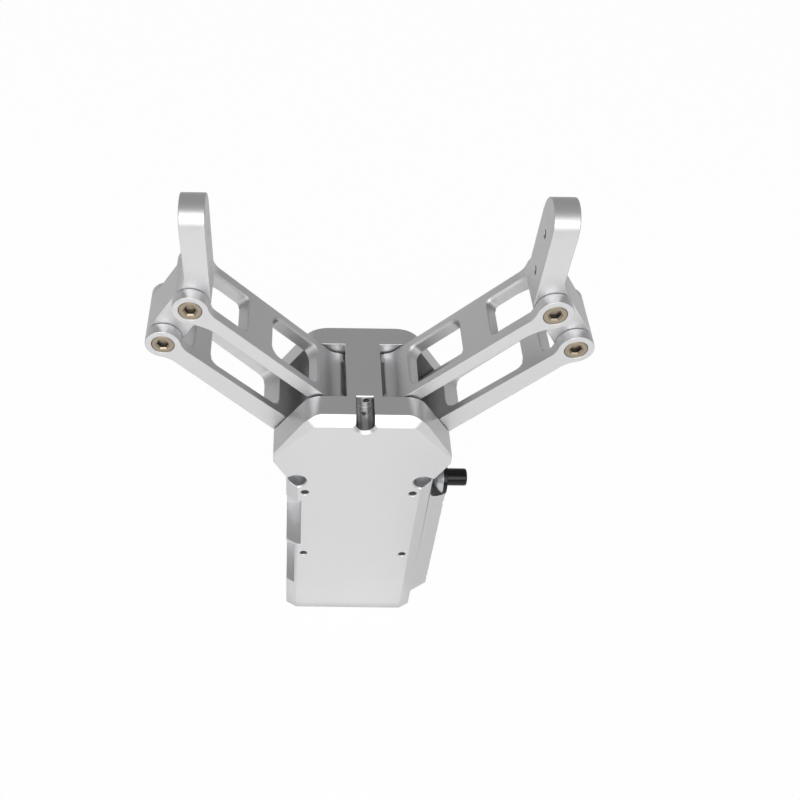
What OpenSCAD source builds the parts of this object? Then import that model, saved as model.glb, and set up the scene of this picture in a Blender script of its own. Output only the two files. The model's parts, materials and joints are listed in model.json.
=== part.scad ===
// Electric two finger gripper with parallelogram links.
// +Z runs from the tool flange to the fingertips, +X along the opening, -Y is the front.
// The origin is the centre of the flange face. Shown with the fingers fully open.

/* [Body] */
// Depth of the body, front to back
body_d = 72; // [70:0.5:78]
// Width of the lower body
body_w = 82; // [80:0.5:84]
// Width of the head across its shoulders
head_w = 96; // [92:0.5:104]
// Height of the head's top face above the flange
body_h = 199.5; // [198:0.5:204]
// Height of the head, from where the shoulders meet the lower body to the top face
head_h = 49.5; // [48.5:0.5:53.5]
// Drop from the top face to the underside of the shoulders at their widest
shoulder_drop = 35.5; // [33.5:0.5:38]
// Drop from the top face to where the shoulders start to slope inwards
slope_drop = 29.3; // [26:0.1:31]
// Slope of the shoulders from the horizontal
shoulder_angle = 57; // [54:0.5:60]
// Radius between shoulder slope and top face
shoulder_r = 12.5; // [8:0.5:14]
// Chamfer along the front and back edges of the top
top_chamfer = 5; // [2:0.5:6]
// Depth of the chamfer along the back edge of the shoulder slopes
slope_chamfer = 7; // [3:0.5:9]
// Width of the corner chamfers of the lower body
corner_w = 6.6; // [4:0.2:8]
// Depth of the corner chamfers of the lower body
corner_d = 3.7; // [2:0.1:5]
// Thickness of the tool flange
flange_t = 9; // [8:0.5:12]

/* [Head slot] */
// Room beside the links in the slot, front and back
side_play = 0.8; // [0.6:0.1:1.5]
// Width of the bridge between the two slots
bridge_w = 18.8; // [17:0.1:19]
// Width of the grease port groove in the front
groove_w = 9.4; // [6:0.2:11]
// Lowest point of the groove below the top
groove_drop = 9; // [7:0.5:9.5]

/* [Links] */
// Pivot to pivot length of all four links
link_l = 104.2; // [102:0.1:107]
// Angle of the open links from the horizontal
open_angle = 45.87; // [45:0.1:47]
// Sideways place of the drive link's lower pivot
drive_x = 14.5; // [14.5:0.1:15]
// Drop of the drive link's lower pivot below the top face
drive_drop = 15; // [14:0.1:15.5]
// Sideways offset of the follower pivots
coupler_x = 15.3; // [15:0.1:16]
// Drop of the follower pivots
coupler_z = 23.5; // [23:0.1:24.5]
// Radius of the bosses at both ends of a link
boss_r = 9; // [8.8:0.1:9.2]
// Depth of the links, front to back
link_d = 35.8; // [35:0.1:36.2]
// Thickness of the front and back bars
bar_t = 5; // [4:0.1:6]
// Thickness of the ears that carry the finger
ear_t = 6.3; // [6:0.1:7]
// Top edge of the drive link's bars above its pivot line
drive_top = 5.3; // [4.6:0.1:5.4]
// Bottom edge of the drive link's bars below its pivot line
drive_low = 2.5; // [2:0.1:3.5]
// Top edge of the follower link's bars above its pivot line
follower_top = 5; // [4:0.1:5.6]
// Bottom edge of the follower link's bars at the finger end
follower_low = 5; // [4:0.1:6]
// Bottom edge of the follower link's bars at the body end
follower_low_in = 8; // [6:0.1:8.6]

/* [Fingers] */
// Thickness of the finger bar
finger_t = 12; // [10:0.2:13]
// Distance from the upper finger pivot in to the gripping face
grip_x = 9.66; // [9.2:0.02:10.5]
// Room beside the finger between the ears, front and back
ear_play = 0.4; // [0.3:0.1:0.8]
// Length of the finger above its upper pivot
finger_l = 53.4; // [46:0.2:60]
// Radius of the tapped holes for the fingertip pads
pad_hole_r = 2.1; // [1.6:0.1:2.6]
// Height of the lower pad hole above the upper finger pivot
pad_hole_low = 13; // [11:0.5:16]
// Distance between the two pad holes
pad_hole_gap = 22; // [16:0.5:26]

/* [Pivots] */
// Radius of the pivot pins
pin_r = 4; // [3.5:0.1:4.2]
// Outer radius of the bronze bushes
bush_r = 5.5; // [5:0.1:5.8]
// Radius of the pivot screw heads
head_r = 5.6; // [5.4:0.1:6]
// Hexagon socket, across flats
hex_af = 6; // [5:0.5:6]
// Running clearance of a pin in its bush
run_fit = 0.03; // [0.02:0.01:0.06]
// Clearance of seated pieces
seat_fit = 0.02; // [0.01:0.01:0.04]

/* [Drive] */
// Module of the rack and the gear sectors
gear_m = 1; // [1:0.05:1]
// Teeth on the full gear circle
gear_teeth = 18; // [18:1:18]
// Backlash at the pitch line
backlash = 0.16; // [0.1:0.02:0.3]
// Closing travel of the links in degrees
travel_angle = 41; // [30:1:41]
// Radius of the lead screw
screw_r = 3; // [2.5:0.1:3.2]
// Radius of the motor
motor_r = 20.8; // [18:0.2:22]
// Height of the motor's lower end
motor_z = 34; // [30:1:44]

/* [Connector and cover] */
// How far the side cover stands out from the body
cover_t = 10.5; // [8:0.5:14]
// Height of the cover's lower edge
cover_low = 17; // [12:1:30]
// Drop from the neck to the cover's upper edge
cover_drop = 20; // [19:0.5:22]
// Distance of the connector from the front face
plug_in = 15; // [14:0.5:17]
// Radius of the recess round the connector
recess_r = 11.1; // [10.6:0.1:12]
// Radius of the black collar that closes the recess
collar_r = 10; // [8:0.5:10.5]
// Height of the connector above the cover's upper edge
plug_up = 1.2; // [0:0.2:2]
// Radius of the connector barrel
plug_r = 5; // [4:0.1:6]
// Length of the connector barrel
plug_l = 11.9; // [8:0.1:20]

/* [Front holes] */
// Half the spacing of the tapped front holes across
front_hole_x = 30.4; // [28:0.2:31]
// Drop from the neck to the upper tapped front holes
front_hole_drop = 15.1; // [14:0.1:18]
// Vertical spacing of the tapped front holes
front_hole_gap = 65.6; // [50:0.2:66]
// Radius of the tapped front holes
front_hole_r = 2.1; // [1.6:0.1:2.6]
// Sideways place of the counterbored neck screws
neck_screw_x = 35.1; // [34:0.1:35.4]
// Drop from the neck to the counterbored neck screws
neck_screw_drop = 4.2; // [3:0.2:6]

/* [Hidden] */
$fn = 96;
tiny = 0.01;
over = 1;
gap = 0.3;

aluminium = [0.80, 0.81, 0.83];
dark_alu = [0.55, 0.56, 0.58];
bronze = [0.72, 0.56, 0.34];
black = [0.08, 0.08, 0.09];
steel = [0.62, 0.63, 0.66];

half_d = body_d / 2;
half_w = body_w / 2;
half_head = head_w / 2;
neck_z = body_h - head_h;
shoulder_low_z = body_h - shoulder_drop;
shoulder_z = body_h - slope_drop;
slot_d = link_d + 2 * side_play;
finger_d = link_d - 2 * ear_t - 2 * ear_play;
half_slot = slot_d / 2;
half_bridge = bridge_w / 2;
half_link = link_d / 2;
half_finger = finger_d / 2;
ear_in = half_link - ear_t;
bar_in = half_link - bar_t;

// Pivots of the right half at rest
drive_z = body_h - drive_drop;
upper_x = drive_x + link_l * cos(open_angle);
upper_z = drive_z + link_l * sin(open_angle);
follow_x = drive_x + coupler_x;
follow_z = drive_z - coupler_z;
lower_x = upper_x + coupler_x;
lower_z = upper_z - coupler_z;
tip_z = upper_z + finger_l;

// Gear on the drive link's hub
pitch_r = gear_m * gear_teeth / 2;
tip_r = pitch_r + 0.85 * gear_m;
root_r = pitch_r - 1.25 * gear_m;
base_r = pitch_r * cos(20);
tooth_a = 360 / gear_teeth;
rack_x = drive_x - pitch_r;
rack_d = 22;
rack_travel = pitch_r * travel_angle * PI / 180;
hub_relief_r = boss_r + 2;
foot_relief_r = boss_r + 1.6;

// Inside of the body
block_h = 34;
block_top = neck_z - 26;
shelf_z = block_top - block_h;
bore_r = motor_r + 0.2;
throat_r = 18.5;
foot_r = throat_r - 0.4;
foot_h = 16;
foot_z = block_top + 12;
chamber_top = foot_z + foot_h + 1.5;
rack_core = rack_x - 1.2 * gear_m;
rack_wide = 6.2;
rack_top = body_h - 4;
shaft_low = 13.5;
screw_top = foot_z + foot_h - 1;
guide_y = 14.7;
guide_r = 2.4;
guide_low = block_top - 10;
guide_top = chamber_top + 6;
motor_l = shelf_z - motor_z - 6;

// Side cover, connector, holes and flange
wall_x = half_w - 9;
recess_x = half_w - 2.5;
cover_top = neck_z - cover_drop;
plug_y = plug_in - half_d;
plug_z = cover_top + plug_up;
collar_x = half_w + 7.6;
channel_y = 19;
channel_low = cover_low + 9;
channel_top = cover_top - 20;
cover_screw_z = [cover_low + 8, cover_top - 18];
cover_screw_y = half_d - 13;
front_hole_z = neck_z - front_hole_drop - front_hole_gap;
neck_screw_z = neck_z - neck_screw_drop;
neck_bore = 14;
port_z = body_h - groove_drop + groove_w / 2 + 0.8;
port_x = 0.8;
port_r = 1.6;
flange_x = half_w - 8;
flange_y = half_d - 8;
flange_screw_x = flange_x - 5;
flange_screw_y = flange_y - 6;

// ---- General shapes ----

// A flat outline drawn in X and Z, given depth along Y
module along_y(depth) {
    rotate([90, 0, 0]) linear_extrude(depth, center = true) children();
}

// A cylinder along Y from y0 to y1
module rod_y(r, y0, y1) {
    translate([0, y1, 0]) rotate([90, 0, 0]) cylinder(r = r, h = y1 - y0);
}

// A cylinder along X from x0 to x1
module rod_x(r, x0, x1) {
    translate([x0, 0, 0]) rotate([0, 90, 0]) cylinder(r = r, h = x1 - x0);
}

// A tapped hole along +Y with a chamfered mouth at y0
module front_hole(r, y0, depth, lip) {
    translate([0, y0 - tiny, 0]) rotate([-90, 0, 0]) {
        cylinder(r = r, h = depth);
        cylinder(r1 = r + lip + tiny, r2 = r, h = lip + tiny);
    }
}

module rounded_rect(x0, x1, y0, y1, r) {
    translate([x0, y0 + r]) square([x1 - x0, y1 - y0 - 2 * r]);
    translate([x0 + r, y0]) square([x1 - x0 - 2 * r, y1 - y0]);
    for (x = [x0 + r, x1 - r]) {
        for (y = [y0 + r, y1 - r]) {
            translate([x, y]) circle(r);
        }
    }
}

// Fillet between a round boss at the origin and a straight edge at height edge,
// on the side that side_x points to: a web to add, or the circle that then cuts it back
module boss_fillet(boss, edge, r, side_x, cut) {
    sink = 0.03;
    up = edge > 0 ? 1 : -1;
    cy = edge + up * (r - sink);
    cx = side_x * sqrt(pow(boss + r - sink, 2) - cy * cy);
    if (cut) {
        translate([cx, cy]) circle(r);
    } else {
        polygon([[0, 0], [cx, cy], [cx, 0]]);
    }
}

// Points of one side of an involute tooth, from root to tip
function inv_angle(r) = let (t = acos(base_r / r)) tan(t) * 180 / PI - t;
function flank(side, steps = 5) = [
    for (i = [0 : steps])
        let (r = base_r + 0.01 + (tip_r - base_r - 0.01) * i / steps)
        let (half = 90 / gear_teeth - backlash / 4 / pitch_r * 180 / PI)
        let (a = side * (half + inv_angle(pitch_r) - inv_angle(r)))
        [r * cos(a), r * sin(a)]
];

module gear_tooth() {
    low = flank(-1);
    high = flank(1);
    n = len(high) - 1;
    root = root_r - 0.4;
    foot = atan2(high[0][1], high[0][0]);
    polygon(concat(
        [[root * cos(foot), -root * sin(foot)]],
        low,
        [for (i = [n : -1 : 0]) high[i]],
        [[root * cos(foot), root * sin(foot)]]
    ));
}

// ---- Body ----

module head_outline() {
    low_w = half_w;
    slope_x = half_head - (body_h - shoulder_z) / tan(shoulder_angle);
    t = shoulder_r * tan(shoulder_angle / 2);
    ax = slope_x - t;
    az = body_h - shoulder_r;
    difference() {
        polygon([
            [low_w, neck_z], [half_head, shoulder_low_z], [half_head, shoulder_z],
            [slope_x, body_h], [-slope_x, body_h], [-half_head, shoulder_z],
            [-half_head, shoulder_low_z], [-low_w, neck_z]
        ]);
        for (s = [-1, 1]) {
            translate([s * ax, az]) difference() {
                polygon([
                    [0, 0], [0, shoulder_r + over], [s * (t + over), shoulder_r + over],
                    [s * (shoulder_r + over) * sin(shoulder_angle),
                        (shoulder_r + over) * cos(shoulder_angle)]
                ]);
                circle(shoulder_r);
            }
        }
    }
}

module body_plan(w) {
    x = w;
    c = x - corner_w;
    y = half_d - corner_d;
    polygon([
        [-x, -y], [-c, -half_d], [c, -half_d], [x, -y],
        [x, y], [c, half_d], [-c, half_d], [-x, y]
    ]);
}

// The slot that one pair of links swings in, right side
module slot_outline() {
    nx = -coupler_z / norm([coupler_x, coupler_z]);
    nz = -coupler_x / norm([coupler_x, coupler_z]);
    far = half_head + over;
    polygon([
        [half_bridge, body_h + over], [half_bridge, drive_z],
        [drive_x + hub_relief_r * nx, drive_z + hub_relief_r * nz],
        [follow_x + foot_relief_r * nx, follow_z + foot_relief_r * nz],
        [follow_x, follow_z - foot_relief_r], [far, follow_z - foot_relief_r],
        [far, body_h + over]
    ]);
    translate([drive_x, drive_z]) circle(hub_relief_r);
    translate([follow_x, follow_z]) circle(foot_relief_r);
}

// Side pocket between two heights, cut in from the left to depth_x, front and back
module side_pocket(z0, z1, depth_x) {
    pocket_y = 5;
    for (s = [-1, 1]) {
        translate([-half_w - over, s > 0 ? pocket_y : -half_d - over, z0])
            cube([depth_x + over, half_d - pocket_y + over, z1 - z0]);
    }
}

module grease_groove() {
    r = groove_w / 2;
    low = body_h - groove_drop;
    back = -half_slot - 0.2;
    lip = 1.6;
    translate([0, back, 0]) rotate([90, 0, 0]) linear_extrude(half_d) {
        translate([0, low + r]) circle(r);
        translate([-r, low + r]) square([groove_w, body_h]);
    }
    // Lip on the front face
    translate([0, -half_d + lip, low + r]) rotate([90, 0, 0])
        cylinder(r1 = r, r2 = r + lip + 1, h = lip + 1);
    for (s = [-1, 1]) {
        translate([0, 0, low + r]) linear_extrude(body_h)
            polygon([
                [0, -half_d + lip], [s * r, -half_d + lip],
                [s * (r + lip + 1), -half_d - 1], [0, -half_d - 1]
            ]);
    }
    // Chamfer at the top of the groove's back wall
    translate([-r, back, 0]) rotate([90, 0, 90]) linear_extrude(groove_w)
        polygon([[-1, body_h - 1.8], [0, body_h - 1.8], [2.8, body_h + 1], [-1, body_h + 1]]);
}

// Room behind the chamfer along the back edge of the right shoulder slope
module slope_cut() {
    top_x = half_head - (body_h - shoulder_z) / tan(shoulder_angle);
    step = slope_chamfer / 10;
    far = half_d + 3;
    translate([top_x, 0, body_h]) rotate([0, shoulder_angle, 0]) translate([-40, 0, 0])
        rotate([90, 0, 90]) linear_extrude(100) polygon([
            [half_d - slope_chamfer - step, 1.15 * step], [half_d + step, -11.5 * step * 1.1],
            [far, -11.5 * step * 1.1], [far, 20], [half_d - slope_chamfer - step, 20]
        ]);
}

module housing_solid() {
    intersection() {
        difference() {
            along_y(body_d) head_outline();
            slope_cut();
            mirror([1, 0, 0]) slope_cut();
        }
        // Chamfers along the top
        translate([-half_head, 0, 0]) rotate([90, 0, 90]) linear_extrude(head_w)
            polygon([
                [-half_d, 0], [half_d, 0], [half_d, body_h - 2 * top_chamfer],
                [half_d - top_chamfer, body_h], [-half_d + top_chamfer, body_h],
                [-half_d, body_h - top_chamfer]
            ]);
    }
    linear_extrude(neck_z + tiny) body_plan(half_w);
}

module housing_cavity() {
    // Seat of the tool flange, motor bore and throat
    translate([0, 0, -over]) linear_extrude(flange_t + over)
        rounded_rect(-flange_x, flange_x, -flange_y, flange_y, 6);
    cylinder(r = bore_r, h = shelf_z);
    // Throat for the carriage foot, the shaft of the rack and the ends of the guide rods
    cylinder(r = throat_r, h = chamber_top);
    translate([-rack_wide - 0.6, -rack_d / 2 - 0.4, block_top])
        cube([2 * rack_wide + 1.2, rack_d + 0.8, rack_top + 1 - block_top]);
    for (s = [-1, 1]) {
        translate([0, s * guide_y, block_top])
            cylinder(r = guide_r + seat_fit, h = guide_top + 0.5 - block_top);
    }
    // Wiring channel under the side cover, with a duct to the motor and one to the connector
    translate([wall_x, -channel_y, channel_low])
        cube([9 + over, 2 * channel_y, channel_top - channel_low]);
    translate([0, -6, 12]) cube([half_w - 1, 12, 14]);
    translate([wall_x + 1, -8, 20]) cube([6, 16, 10]);
    translate([wall_x + 1.5, plug_y - 4, channel_top - 10])
        cube([4, 8, plug_z - channel_top + 10]);
    translate([wall_x, plug_y + 2, channel_top - 10]) cube([5.5, 6, 10]);
    translate([0, plug_y, plug_z]) rod_x(plug_r - 0.7 + seat_fit, wall_x + 1.5, half_w + over);
    translate([0, plug_y, plug_z]) rod_x(recess_r, recess_x, half_w + cover_t + over);
}

module pivot_bores(x, z) {
    translate([x, 0, z]) {
        rod_y(pin_r + seat_fit, -half_slot - 8, half_d - 3.3);
        rod_y(pin_r + 1, half_d - 6.3, half_d + over);
    }
}

module housing() {
    color(aluminium) difference() {
        housing_solid();
        for (s = [0, 1]) {
            mirror([s, 0, 0]) along_y(slot_d) slot_outline();
            mirror([s, 0, 0]) pivot_bores(drive_x, drive_z);
            mirror([s, 0, 0]) pivot_bores(follow_x, follow_z);
        }
        housing_cavity();
        grease_groove();
        side_pocket(neck_z - 70, neck_z - 23, half_w - 32.3);
        side_pocket(31.5, neck_z - 72.3, half_w - 36);
        // Grease port from the groove into the rack shaft
        translate([port_x, 0, port_z]) rod_y(port_r, -half_slot - 1, -rack_d / 2);
        // Tapped holes in the front
        for (s = [-1, 1]) {
            for (z = [front_hole_z, front_hole_z + front_hole_gap]) {
                translate([s * front_hole_x, 0, z]) front_hole(front_hole_r, -half_d, 9, 0.55);
            }
        }
        // Counterbored neck screws
        for (s = [-1, 1]) {
            translate([s * neck_screw_x, 0, neck_screw_z]) {
                front_hole(5.2, -half_d, neck_bore, 0.9);
                rod_y(2.5 + seat_fit, -half_d + neck_bore - 1, half_d - 6);
            }
        }
        // Screws of the tool flange
        for (x = [-flange_screw_x, flange_screw_x]) {
            for (y = [-flange_screw_y, flange_screw_y]) {
                translate([x, y, flange_t - tiny]) cylinder(r = 2 + seat_fit, h = 12);
            }
        }
        // Screws of the side cover
        for (y = [-cover_screw_y, cover_screw_y]) {
            for (z = cover_screw_z) {
                translate([0, y, z]) rod_x(1.6 + seat_fit, half_w - 8, half_w + over);
            }
        }
    }
}

module tool_flange() {
    color(dark_alu) difference() {
        linear_extrude(flange_t - 0.1)
            rounded_rect(0.1 - flange_x, flange_x - 0.1, 0.1 - flange_y, flange_y - 0.1, 6);
        // Robot flange pattern: four M6 on a 50 mm circle, a 6 mm dowel and a spigot
        for (a = [45 : 90 : 315]) {
            rotate([0, 0, a]) translate([25, 0, -over]) cylinder(r = 2.5, h = flange_t + 2 * over);
        }
        translate([-25, 0, -over]) cylinder(r = 3, h = 6 + over);
        translate([0, 0, -over]) cylinder(r = 15.75, h = 3 + over);
        for (x = [-flange_screw_x, flange_screw_x]) {
            for (y = [-flange_screw_y, flange_screw_y]) {
                translate([x, y, -over]) cylinder(r = 2.1, h = flange_t + 2 * over);
                translate([x, y, -over]) cylinder(r = 3.9, h = 4.6 + over);
            }
        }
    }
}

module flange_screws() {
    color(steel) for (x = [-flange_screw_x, flange_screw_x]) {
        for (y = [-flange_screw_y, flange_screw_y]) {
            translate([x, y, 0.5]) difference() {
                union() {
                    cylinder(r = 3.6, h = 4);
                    cylinder(r = 2, h = 18);
                }
                translate([0, 0, -tiny]) cylinder(r = 1.73, h = 2.2, $fn = 6);
            }
        }
    }
}

// ---- Side cover and connector ----

module cover_plan(grow = 0) {
    x0 = half_w + 0.1;
    x1 = half_w + cover_t - grow;
    y0 = half_d - corner_d - grow;
    y1 = y0 - 6.5;
    polygon([[x0, -y0], [x1, -y1], [x1, y1], [x0, y0]]);
}

module side_cover() {
    color(aluminium) difference() {
        translate([0, 0, cover_low]) linear_extrude(cover_top - cover_low) cover_plan();
        // Hollow that goes over the wiring channel
        translate([half_w, 1 - channel_y, channel_low + 2])
            cube([cover_t - 3, 2 * channel_y - 2, channel_top - channel_low - 6]);
        // Recess round the connector
        translate([0, plug_y, plug_z]) rod_x(recess_r, half_w - over, half_w + cover_t + over);
        for (y = [-cover_screw_y, cover_screw_y]) {
            for (z = cover_screw_z) {
                translate([0, y, z]) {
                    rod_x(1.8, half_w - over, half_w + cover_t + over);
                    rod_x(3.2, half_w + cover_t - 6, half_w + cover_t + over);
                }
            }
        }
    }
}

module cover_screws() {
    color(steel) for (y = [-cover_screw_y, cover_screw_y]) {
        for (z = cover_screw_z) {
            translate([0, y, z]) difference() {
                union() {
                    rod_x(2.9, half_w + cover_t - 5.9, half_w + cover_t - 2.9);
                    rod_x(1.6, half_w - 7, half_w + cover_t - 3);
                }
                translate([half_w + cover_t - 4.6, 0, 0]) rotate([0, 90, 0])
                    cylinder(r = 1.44, h = 3, $fn = 6);
            }
        }
    }
}

module connector_socket() {
    r = plug_r - 0.7;
    color(steel) translate([0, plug_y, plug_z]) difference() {
        union() {
            rod_x(r, wall_x + 3, half_w + 1);
            rod_x(6.4, recess_x + 0.1, recess_x + 2.1);
            translate([recess_x + 2, 0, 0]) rotate([0, 90, 0])
                cylinder(r1 = 4.8, r2 = collar_r - 0.6, h = collar_x - recess_x - 2);
        }
        rod_x(2.6, wall_x, collar_x + over);
    }
}

module connector_nut() {
    color(black) translate([0, plug_y, plug_z]) difference() {
        rod_x(collar_r, collar_x, collar_x + 2);
        rod_x(2.6, collar_x - over, collar_x + 2 + over);
    }
}

module connector_plug() {
    x0 = collar_x + 2;
    x1 = x0 + plug_l;
    color(black) translate([0, plug_y, plug_z]) difference() {
        union() {
            rod_x(plug_r, x0, x1 - 0.6);
            translate([x1 - 0.6, 0, 0]) rotate([0, 90, 0])
                cylinder(r1 = plug_r, r2 = plug_r - 0.6, h = 0.6);
        }
        rod_x(3.6, x1 - 6, x1 + over);
    }
}

module neck_screws() {
    seat = neck_bore - half_d - 0.1;
    color(steel) for (s = [-1, 1]) {
        translate([s * neck_screw_x, 0, neck_screw_z]) difference() {
            union() {
                rod_y(4.25, seat - 5, seat);
                rod_y(2.5, seat - 0.1, half_d - 7);
            }
            translate([0, seat - 2.4, 0]) rotate([90, 0, 0]) cylinder(r = 2.31, h = 4, $fn = 6);
        }
    }
}

module port_screw() {
    color(black) translate([port_x, 0, port_z]) difference() {
        rod_y(port_r - seat_fit, -half_slot + 1.2, -rack_d / 2 - 1.4);
        translate([0, -half_slot + 2.8, 0]) rotate([90, 0, 0]) cylinder(r = 0.75, h = 3, $fn = 6);
    }
}

// ---- Electronics, motor and screw ----

module control_board() {
    low = channel_low + 6;
    top = channel_top - 6;
    color([0.10, 0.36, 0.22]) {
        translate([wall_x + 2, 3 - channel_y, low]) cube([1.6, 2 * channel_y - 6, top - low]);
        for (k = [0.11, 0.4, 0.7]) {
            translate([wall_x + 3.6, -9, low + k * (top - low)]) cube([2.2, 14, (top - low) / 6]);
        }
        for (y = [-13, 13]) {
            for (z = [low + 3, top - 3]) {
                translate([0, y, z]) rod_x(2, wall_x, wall_x + 2);
            }
        }
    }
}

module encoder_board() {
    color([0.10, 0.36, 0.22]) difference() {
        union() {
            translate([0, 0, flange_t - 0.1]) cylinder(r = 17, h = 1.6);
            translate([-3, -3, flange_t + 1.4]) cube([6, 6, 1]);
        }
        translate([14, 0, 0]) cylinder(r = 1, h = 30);
    }
}

module encoder_disc() {
    color(black) translate([0, 0, shaft_low]) difference() {
        cylinder(r = 9, h = 3);
        translate([0, 0, 1.2]) cylinder(r = pin_r + seat_fit, h = 4);
    }
}

module motor_stator() {
    color(steel) difference() {
        translate([0, 0, motor_z + 0.1]) cylinder(r = motor_r, h = motor_l - 0.2);
        translate([0, 0, motor_z - over]) cylinder(r = 13.2, h = motor_l + 2 * over);
    }
}

module motor_end_cap() {
    color(dark_alu) difference() {
        union() {
            translate([0, 0, shelf_z - 6]) cylinder(r = motor_r, h = 5.9);
            translate([0, 0, motor_z - 6]) cylinder(r = motor_r, h = 6);
        }
        cylinder(r = pin_r + 0.05, h = shelf_z + over);
    }
}

module motor_retainer() {
    color(dark_alu) difference() {
        translate([0, 0, motor_z - 12]) cylinder(r = motor_r + 0.1, h = 5.9);
        cylinder(r = 14, h = shelf_z);
    }
}

module motor_rotor() {
    color(black) difference() {
        translate([0, 0, motor_z + 4]) cylinder(r = 12.6, h = motor_l - 8);
        cylinder(r = pin_r + seat_fit, h = shelf_z);
    }
}

module lead_screw() {
    color(steel) {
        translate([0, 0, shaft_low + 1.4]) cylinder(r = pin_r, h = block_top - 5 - shaft_low - 1.4);
        translate([0, 0, shelf_z + 3]) cylinder(r = pin_r + 2, h = 3.9);
        translate([0, 0, block_top - 6]) cylinder(r = screw_r, h = screw_top - block_top + 6);
    }
}

module bearing_block() {
    color(dark_alu) difference() {
        translate([0, 0, shelf_z + 0.1]) cylinder(r = throat_r - 0.05, h = block_h - 0.2);
        translate([0, 0, shelf_z - over]) cylinder(r = 8, h = block_h);
        translate([0, 0, shelf_z + 7]) cylinder(r = 11, h = block_h);
        for (s = [-1, 1]) {
            translate([0, s * guide_y, guide_low - 0.5]) cylinder(r = guide_r + seat_fit, h = block_h);
        }
    }
}

module screw_bearing() {
    color(steel) difference() {
        translate([0, 0, shelf_z + 7.1]) cylinder(r = 10.97, h = 7);
        translate([0, 0, shelf_z]) cylinder(r = pin_r + run_fit, h = block_h);
        for (z = [shelf_z + 7, shelf_z + 13.7]) {
            translate([0, 0, z]) difference() {
                cylinder(r = 9.2, h = 0.4);
                cylinder(r = 6, h = 0.4);
            }
        }
    }
}

module bearing_ring() {
    color(bronze) difference() {
        translate([0, 0, shelf_z + 14.2]) cylinder(r = 10.97, h = 6);
        translate([0, 0, shelf_z]) cylinder(r = 7, h = block_h);
        translate([-1.6, -12, shelf_z + 18]) cube([3.2, 24, 3]);
    }
}

module guide_rods() {
    color(steel) for (s = [-1, 1]) {
        translate([0, s * guide_y, guide_low]) cylinder(r = guide_r, h = guide_top - guide_low);
    }
}

// ---- Rack and carriage ----

// Outline of the rack in X and Z, teeth on both sides
module rack_outline() {
    half_tooth = PI * gear_m / 4 - backlash / 4;
    tip = rack_x + 0.85 * gear_m;
    k = tan(20);
    translate([-rack_core, drive_z - 9]) square([2 * rack_core, rack_top - drive_z + 9]);
    for (s = [-1, 1]) {
        for (i = [-3 : 2]) {
            z = drive_z + (i + 0.5) * PI * gear_m;
            polygon([
                [s * (rack_core - 0.5), z - half_tooth - 1.7 * gear_m * k],
                [s * tip, z - half_tooth + 0.85 * gear_m * k],
                [s * tip, z + half_tooth - 0.85 * gear_m * k],
                [s * (rack_core - 0.5), z + half_tooth + 1.7 * gear_m * k]
            ]);
        }
    }
}

module rack_carriage() {
    color(dark_alu) difference() {
        union() {
            along_y(rack_d) rack_outline();
            translate([-rack_wide, -rack_d / 2, foot_z])
                cube([2 * rack_wide, rack_d, drive_z - 9 - foot_z]);
            translate([0, 0, foot_z]) cylinder(r = foot_r, h = foot_h);
        }
        translate([0, 0, foot_z - over]) cylinder(r = 7 + seat_fit, h = foot_h - 2 + over);
        cylinder(r = screw_r + 0.5, h = foot_z + foot_h + 12);
        for (s = [-1, 1]) {
            translate([0, s * guide_y, foot_z - over])
                cylinder(r = guide_r + run_fit, h = foot_h + 2 * over);
        }
    }
}

module carriage_nut() {
    color(bronze) difference() {
        union() {
            translate([0, 0, foot_z - 2.5]) cylinder(r = 9.5, h = 2.4);
            translate([0, 0, foot_z - 0.2]) cylinder(r = 7, h = foot_h - 2);
        }
        cylinder(r = screw_r + run_fit, h = body_h);
    }
}

// ---- Body pivots ----

module body_pins(x, z) {
    for (s = [-1, 1]) {
        translate([s * x, 0, z]) rod_y(pin_r, -half_slot - 7.8, half_d - 6.7);
    }
}

module drive_pins() {
    color(steel) body_pins(drive_x, drive_z);
}

module follower_pins() {
    color(steel) body_pins(follow_x, follow_z);
}

module pin_plugs() {
    color(black) for (s = [-1, 1]) {
        for (p = [[drive_x, drive_z], [follow_x, follow_z]]) {
            translate([s * p[0], 0, p[1]]) difference() {
                rod_y(pin_r + 1 - seat_fit, half_d - 6.2, half_d - 0.6);
                translate([0, half_d, 0]) rotate([90, 0, 0]) cylinder(r = 2.31, h = 3, $fn = 6);
            }
        }
    }
}

// ---- Links, drawn along +X with the body pivot at the origin ----

// Bar between two bosses; the lower edge runs from low_in to low_out
module link_body(top, low_in, low_out, fillets) {
    slope = atan((low_in - low_out) / link_l);
    difference() {
        union() {
            rod_y(boss_r, -half_link, half_link);
            translate([link_l, 0, 0]) rod_y(boss_r, -half_link, half_link);
            along_y(link_d) polygon([[0, -low_in], [link_l, -low_out], [link_l, top], [0, top]]);
            along_y(link_d) link_fillets(top, low_in, low_out, slope, fillets, false);
        }
        along_y(link_d + 2) link_fillets(top, low_in, low_out, slope, fillets, true);
    }
}

module link_fillets(top, low_in, low_out, slope, fillets, cut) {
    boss_fillet(boss_r, top, fillets[0], 1, cut);
    rotate(slope) boss_fillet(boss_r, -low_in * cos(slope), fillets[1], 1, cut);
    translate([link_l, 0]) {
        boss_fillet(boss_r, top, fillets[2], -1, cut);
        rotate(slope) boss_fillet(boss_r, -low_out * cos(slope), fillets[3], -1, cut);
    }
}

// Window through the bars from u0 to u1, and the fork from u2 to the finger end
module link_cuts(u0, u1, u2) {
    translate([0, 0, -20]) linear_extrude(40) {
        rounded_rect(u0, u1, -bar_in, bar_in, 5);
        translate([u2 + 3, -ear_in]) square([link_l, 2 * ear_in]);
        translate([u2, -ear_in + 3]) square([link_l, 2 * ear_in - 6]);
        for (s = [-1, 1]) {
            translate([u2 + 3, s * (ear_in - 3)]) circle(3);
        }
    }
}

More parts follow.
